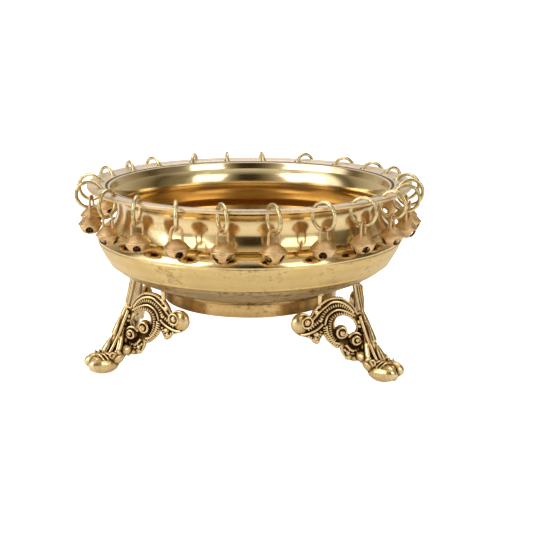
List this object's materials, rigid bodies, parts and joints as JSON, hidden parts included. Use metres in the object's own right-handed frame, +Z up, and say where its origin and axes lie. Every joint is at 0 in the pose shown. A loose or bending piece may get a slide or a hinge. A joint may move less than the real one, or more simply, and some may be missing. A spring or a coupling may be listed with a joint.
{
  "type": "urli bowl",
  "caption": "Brass urli: flanged round bowl on openwork scroll legs, with a jump ring and a small round bell hanging from each hole in the rim.",
  "frame": {"origin": "on the floor under the bowl's axis", "axes": "+Z up along the bowl's axis; one leg points to +Y and the other two stand at 210 and 330 degrees from +X"},
  "size_m": [0.2729, 0.2707, 0.1454],
  "materials": {
    "bowl_brass": "turned and polished, matte brushed band below the widest line",
    "leg_brass": "cast, rubbed bright on the high places with dark patina in the hollows",
    "braze_brass": "pale lumpy filler metal",
    "ring_brass": "drawn wire, satin",
    "bell_brass": "satin with a fine sandy dome"
  },
  "bodies": {
    "bowl": {"bowl": "bowl_brass", "leg_front_left": "leg_brass", "leg_front_right": "leg_brass", "leg_back": "leg_brass", "braze_front_left": "braze_brass", "braze_front_right": "braze_brass", "braze_back": "braze_brass"},
    "ring_01": {"ring_01": "ring_brass"},
    "bell_01": {"bell_01": "bell_brass"},
    "ring_02": {"ring_02": "ring_brass"},
    "bell_02": {"bell_02": "bell_brass"},
    "ring_03": {"ring_03": "ring_brass"},
    "bell_03": {"bell_03": "bell_brass"},
    "ring_04": {"ring_04": "ring_brass"},
    "bell_04": {"bell_04": "bell_brass"},
    "ring_05": {"ring_05": "ring_brass"},
    "bell_05": {"bell_05": "bell_brass"},
    "ring_06": {"ring_06": "ring_brass"},
    "bell_06": {"bell_06": "bell_brass"},
    "ring_07": {"ring_07": "ring_brass"},
    "bell_07": {"bell_07": "bell_brass"},
    "ring_08": {"ring_08": "ring_brass"},
    "bell_08": {"bell_08": "bell_brass"},
    "ring_09": {"ring_09": "ring_brass"},
    "bell_09": {"bell_09": "bell_brass"},
    "ring_10": {"ring_10": "ring_brass"},
    "bell_10": {"bell_10": "bell_brass"},
    "ring_11": {"ring_11": "ring_brass"},
    "bell_11": {"bell_11": "bell_brass"},
    "ring_12": {"ring_12": "ring_brass"},
    "bell_12": {"bell_12": "bell_brass"},
    "ring_13": {"ring_13": "ring_brass"},
    "bell_13": {"bell_13": "bell_brass"},
    "ring_14": {"ring_14": "ring_brass"},
    "bell_14": {"bell_14": "bell_brass"},
    "ring_15": {"ring_15": "ring_brass"},
    "bell_15": {"bell_15": "bell_brass"},
    "ring_16": {"ring_16": "ring_brass"},
    "bell_16": {"bell_16": "bell_brass"},
    "ring_17": {"ring_17": "ring_brass"},
    "bell_17": {"bell_17": "bell_brass"},
    "ring_18": {"ring_18": "ring_brass"},
    "bell_18": {"bell_18": "bell_brass"},
    "ring_19": {"ring_19": "ring_brass"},
    "bell_19": {"bell_19": "bell_brass"},
    "ring_20": {"ring_20": "ring_brass"},
    "bell_20": {"bell_20": "bell_brass"},
    "ring_21": {"ring_21": "ring_brass"},
    "bell_21": {"bell_21": "bell_brass"},
    "ring_22": {"ring_22": "ring_brass"},
    "bell_22": {"bell_22": "bell_brass"},
    "ring_23": {"ring_23": "ring_brass"},
    "bell_23": {"bell_23": "bell_brass"}
  },
  "joints": [
    {"name": "ring_01_swing", "type": "hinge", "parent": "bowl", "child": "ring_01", "pos_m": [0.12365, 0.0218, 0.1332], "axis": [0.1736, -0.9848, 0], "range_deg": [-2, 22]},
    {"name": "bell_01_swing", "type": "hinge", "parent": "ring_01", "child": "bell_01", "pos_m": [0.12365, 0.0218, 0.12345], "axis": [0.9848, 0.1736, 0], "range_deg": [-16, 16]},
    {"name": "ring_02_swing", "type": "hinge", "parent": "bowl", "child": "ring_02", "pos_m": [0.1126, 0.05502, 0.1333], "axis": [0.6428, -0.766, 0], "range_deg": [-2, 22]},
    {"name": "bell_02_swing", "type": "hinge", "parent": "ring_02", "child": "bell_02", "pos_m": [0.1126, 0.05502, 0.12355], "axis": [0.766, 0.6428, 0], "range_deg": [-16, 16]},
    {"name": "ring_03_swing", "type": "hinge", "parent": "bowl", "child": "ring_03", "pos_m": [0.09641, 0.0798, 0.1334], "axis": [0.3584, -0.9336, 0], "range_deg": [-2, 22]},
    {"name": "bell_03_swing", "type": "hinge", "parent": "ring_03", "child": "bell_03", "pos_m": [0.09641, 0.0798, 0.12365], "axis": [0.9336, 0.3584, 0], "range_deg": [-16, 16]},
    {"name": "ring_04_swing", "type": "hinge", "parent": "bowl", "child": "ring_04", "pos_m": [0.07173, 0.10209, 0.134], "axis": [0.454, -0.891, 0], "range_deg": [-2, 22]},
    {"name": "bell_04_swing", "type": "hinge", "parent": "ring_04", "child": "bell_04", "pos_m": [0.07173, 0.10209, 0.12425], "axis": [0.891, 0.454, 0], "range_deg": [-16, 16]},
    {"name": "ring_05_swing", "type": "hinge", "parent": "bowl", "child": "ring_05", "pos_m": [0.03677, 0.11936, 0.1344], "axis": [0.7071, -0.7071, 0], "range_deg": [-2, 22]},
    {"name": "bell_05_swing", "type": "hinge", "parent": "ring_05", "child": "bell_05", "pos_m": [0.03677, 0.11936, 0.12465], "axis": [0.7071, 0.7071, 0], "range_deg": [-16, 16]},
    {"name": "ring_06_swing", "type": "hinge", "parent": "bowl", "child": "ring_06", "pos_m": [-0.00239, 0.12573, 0.1344], "axis": [0.9659, 0.2588, 0], "range_deg": [-2, 22]},
    {"name": "bell_06_swing", "type": "hinge", "parent": "ring_06", "child": "bell_06", "pos_m": [-0.00239, 0.12573, 0.12465], "axis": [-0.2588, 0.9659, 0], "range_deg": [-16, 16]},
    {"name": "ring_07_swing", "type": "hinge", "parent": "bowl", "child": "ring_07", "pos_m": [-0.03348, 0.12143, 0.1344], "axis": [0.9903, 0.1392, 0], "range_deg": [-2, 22]},
    {"name": "bell_07_swing", "type": "hinge", "parent": "ring_07", "child": "bell_07", "pos_m": [-0.03348, 0.12143, 0.12465], "axis": [-0.1392, 0.9903, 0], "range_deg": [-16, 16]},
    {"name": "ring_08_swing", "type": "hinge", "parent": "bowl", "child": "ring_08", "pos_m": [-0.06141, 0.10829, 0.1344], "axis": [0.9986, -0.0523, 0], "range_deg": [-2, 22]},
    {"name": "bell_08_swing", "type": "hinge", "parent": "ring_08", "child": "bell_08", "pos_m": [-0.06141, 0.10829, 0.12465], "axis": [0.0523, 0.9986, 0], "range_deg": [-16, 16]},
    {"name": "ring_09_swing", "type": "hinge", "parent": "bowl", "child": "ring_09", "pos_m": [-0.09367, 0.08434, 0.1344], "axis": [0.6691, 0.7431, 0], "range_deg": [-2, 22]},
    {"name": "bell_09_swing", "type": "hinge", "parent": "ring_09", "child": "bell_09", "pos_m": [-0.09367, 0.08434, 0.12465], "axis": [-0.7431, 0.6691, 0], "range_deg": [-16, 16]},
    {"name": "ring_10_swing", "type": "hinge", "parent": "bowl", "child": "ring_10", "pos_m": [-0.10911, 0.06078, 0.1344], "axis": [0.8387, 0.5446, 0], "range_deg": [-2, 22]},
    {"name": "bell_10_swing", "type": "hinge", "parent": "ring_10", "child": "bell_10", "pos_m": [-0.10911, 0.06078, 0.12465], "axis": [-0.5446, 0.8387, 0], "range_deg": [-16, 16]},
    {"name": "ring_11_swing", "type": "hinge", "parent": "bowl", "child": "ring_11", "pos_m": [-0.12163, 0.02835, 0.1344], "axis": [0.6561, 0.7547, 0], "range_deg": [-2, 22]},
    {"name": "bell_11_swing", "type": "hinge", "parent": "ring_11", "child": "bell_11", "pos_m": [-0.12163, 0.02835, 0.12465], "axis": [-0.7547, 0.6561, 0], "range_deg": [-16, 16]},
    {"name": "ring_12_swing", "type": "hinge", "parent": "bowl", "child": "ring_12", "pos_m": [-0.12557, -0.00937, 0.1344], "axis": [0.0872, 0.9962, 0], "range_deg": [-2, 22]},
    {"name": "bell_12_swing", "type": "hinge", "parent": "ring_12", "child": "bell_12", "pos_m": [-0.12557, -0.00937, 0.12465], "axis": [-0.9962, 0.0872, 0], "range_deg": [-16, 16]},
    {"name": "ring_13_swing", "type": "hinge", "parent": "bowl", "child": "ring_13", "pos_m": [-0.11805, -0.04394, 0.1344], "axis": [-0.225, 0.9744, 0], "range_deg": [-2, 22]},
    {"name": "bell_13_swing", "type": "hinge", "parent": "ring_13", "child": "bell_13", "pos_m": [-0.11805, -0.04394, 0.12465], "axis": [-0.9744, -0.225, 0], "range_deg": [-16, 16]},
    {"name": "ring_14_swing", "type": "hinge", "parent": "bowl", "child": "ring_14", "pos_m": [-0.09549, -0.08045, 0.1343], "axis": [-0.9272, 0.3746, 0], "range_deg": [-2, 22]},
    {"name": "bell_14_swing", "type": "hinge", "parent": "ring_14", "child": "bell_14", "pos_m": [-0.09549, -0.08045, 0.12455], "axis": [-0.3746, -0.9272, 0], "range_deg": [-16, 16]},
    {"name": "ring_15_swing", "type": "hinge", "parent": "bowl", "child": "ring_15", "pos_m": [-0.06898, -0.10373, 0.1344], "axis": [-0.9994, 0.0349, 0], "range_deg": [-2, 22]},
    {"name": "bell_15_swing", "type": "hinge", "parent": "ring_15", "child": "bell_15", "pos_m": [-0.06898, -0.10373, 0.12465], "axis": [-0.0349, -0.9994, 0], "range_deg": [-16, 16]},
    {"name": "ring_16_swing", "type": "hinge", "parent": "bowl", "child": "ring_16", "pos_m": [-0.03852, -0.11879, 0.1341], "axis": [-0.9877, -0.1564, 0], "range_deg": [-2, 22]},
    {"name": "bell_16_swing", "type": "hinge", "parent": "ring_16", "child": "bell_16", "pos_m": [-0.03852, -0.11879, 0.12435], "axis": [0.1564, -0.9877, 0], "range_deg": [-16, 16]},
    {"name": "ring_17_swing", "type": "hinge", "parent": "bowl", "child": "ring_17", "pos_m": [-0.00592, -0.12436, 0.1339], "axis": [-0.8829, -0.4695, 0], "range_deg": [-2, 22]},
    {"name": "bell_17_swing", "type": "hinge", "parent": "ring_17", "child": "bell_17", "pos_m": [-0.00592, -0.12436, 0.12415], "axis": [0.4695, -0.8829, 0], "range_deg": [-16, 16]},
    {"name": "ring_18_swing", "type": "hinge", "parent": "bowl", "child": "ring_18", "pos_m": [0.029, -0.12179, 0.1335], "axis": [-0.848, -0.5299, 0], "range_deg": [-2, 22]},
    {"name": "bell_18_swing", "type": "hinge", "parent": "ring_18", "child": "bell_18", "pos_m": [0.029, -0.12179, 0.12375], "axis": [0.5299, -0.848, 0], "range_deg": [-16, 16]},
    {"name": "ring_19_swing", "type": "hinge", "parent": "bowl", "child": "ring_19", "pos_m": [0.06216, -0.10826, 0.1336], "axis": [-0.5736, -0.8192, 0], "range_deg": [-2, 22]},
    {"name": "bell_19_swing", "type": "hinge", "parent": "ring_19", "child": "bell_19", "pos_m": [0.06216, -0.10826, 0.12385], "axis": [0.8192, -0.5736, 0], "range_deg": [-16, 16]},
    {"name": "ring_20_swing", "type": "hinge", "parent": "bowl", "child": "ring_20", "pos_m": [0.0893, -0.08732, 0.1333], "axis": [-0.3746, -0.9272, 0], "range_deg": [-2, 22]},
    {"name": "bell_20_swing", "type": "hinge", "parent": "ring_20", "child": "bell_20", "pos_m": [0.0893, -0.08732, 0.12355], "axis": [0.9272, -0.3746, 0], "range_deg": [-16, 16]},
    {"name": "ring_21_swing", "type": "hinge", "parent": "bowl", "child": "ring_21", "pos_m": [0.11048, -0.05949, 0.1333], "axis": [-0.3256, -0.9455, 0], "range_deg": [-2, 22]},
    {"name": "bell_21_swing", "type": "hinge", "parent": "ring_21", "child": "bell_21", "pos_m": [0.11048, -0.05949, 0.12355], "axis": [0.9455, -0.3256, 0], "range_deg": [-16, 16]},
    {"name": "ring_22_swing", "type": "hinge", "parent": "bowl", "child": "ring_22", "pos_m": [0.12149, -0.03099, 0.1331], "axis": [-0.0872, -0.9962, 0], "range_deg": [-2, 22]},
    {"name": "bell_22_swing", "type": "hinge", "parent": "ring_22", "child": "bell_22", "pos_m": [0.12149, -0.03099, 0.12335], "axis": [0.9962, -0.0872, 0], "range_deg": [-16, 16]},
    {"name": "ring_23_swing", "type": "hinge", "parent": "bowl", "child": "ring_23", "pos_m": [0.12543, -0.00438, 0.1331], "axis": [-0.0349, -0.9994, 0], "range_deg": [-2, 22]},
    {"name": "bell_23_swing", "type": "hinge", "parent": "ring_23", "child": "bell_23", "pos_m": [0.12543, -0.00438, 0.12335], "axis": [0.9994, -0.0349, 0], "range_deg": [-16, 16]}
  ]
}
